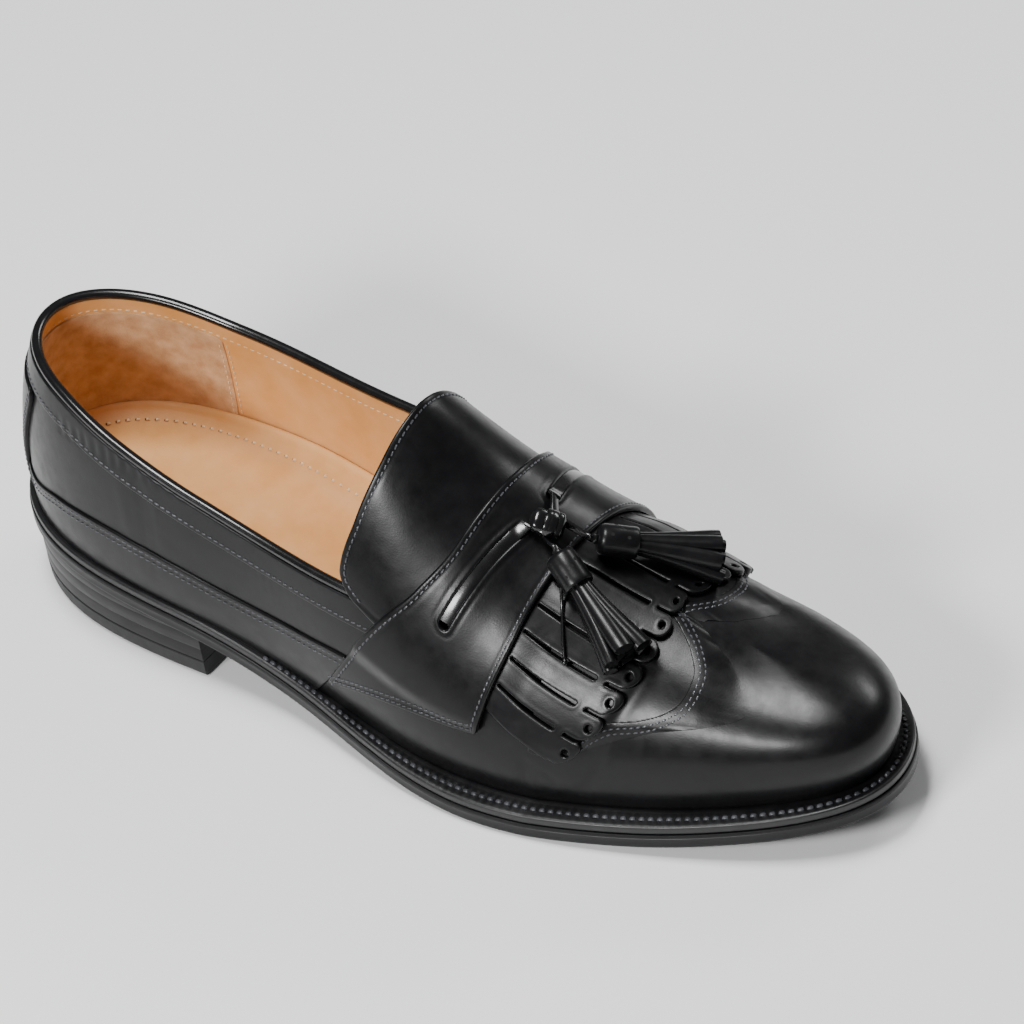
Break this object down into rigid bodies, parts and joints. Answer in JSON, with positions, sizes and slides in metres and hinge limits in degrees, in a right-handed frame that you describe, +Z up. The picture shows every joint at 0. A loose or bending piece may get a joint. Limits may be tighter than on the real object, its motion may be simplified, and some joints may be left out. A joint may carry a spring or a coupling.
{
  "type": "kiltie loafer",
  "caption": "Low slip-on leather dress shoe for the right foot, with a fringed flap, a saddle strap, a knotted lace and two tassels, on a welted sole with a low heel.",
  "frame": {"origin": "on the floor, below the centre of the shoe's bounding box", "axes": "+X to the toe, +Y to the medial side (towards the other foot), +Z up"},
  "size_m": [0.304, 0.1068, 0.1029],
  "materials": {
    "black_calf": "polished smooth black calf with a fine grain",
    "tan_lining": "smooth tan lining leather, soft sheen",
    "sole_leather": "black dyed and waxed sole edge, satin",
    "heel_rubber": "black rubber, matt"
  },
  "bodies": {
    "root": {"top_lift": "heel_rubber", "heel_stack": "sole_leather", "outsole": "sole_leather", "welt": "sole_leather", "insole": "tan_lining", "upper": "black_calf", "tongue": "black_calf", "saddle_strap": "black_calf", "vamp_overlay": "black_calf", "kiltie": "black_calf", "backstay": "black_calf", "collar_binding": "black_calf", "knot": "black_calf", "lace_lateral": "black_calf", "lace_medial": "black_calf", "lace_end_lateral": "black_calf", "lace_end_medial": "black_calf", "thong": "black_calf", "tassel_cap_lateral": "black_calf", "tassel_cap_medial": "black_calf", "tassel_lateral": "black_calf", "tassel_medial": "black_calf"}
  },
  "joints": []
}
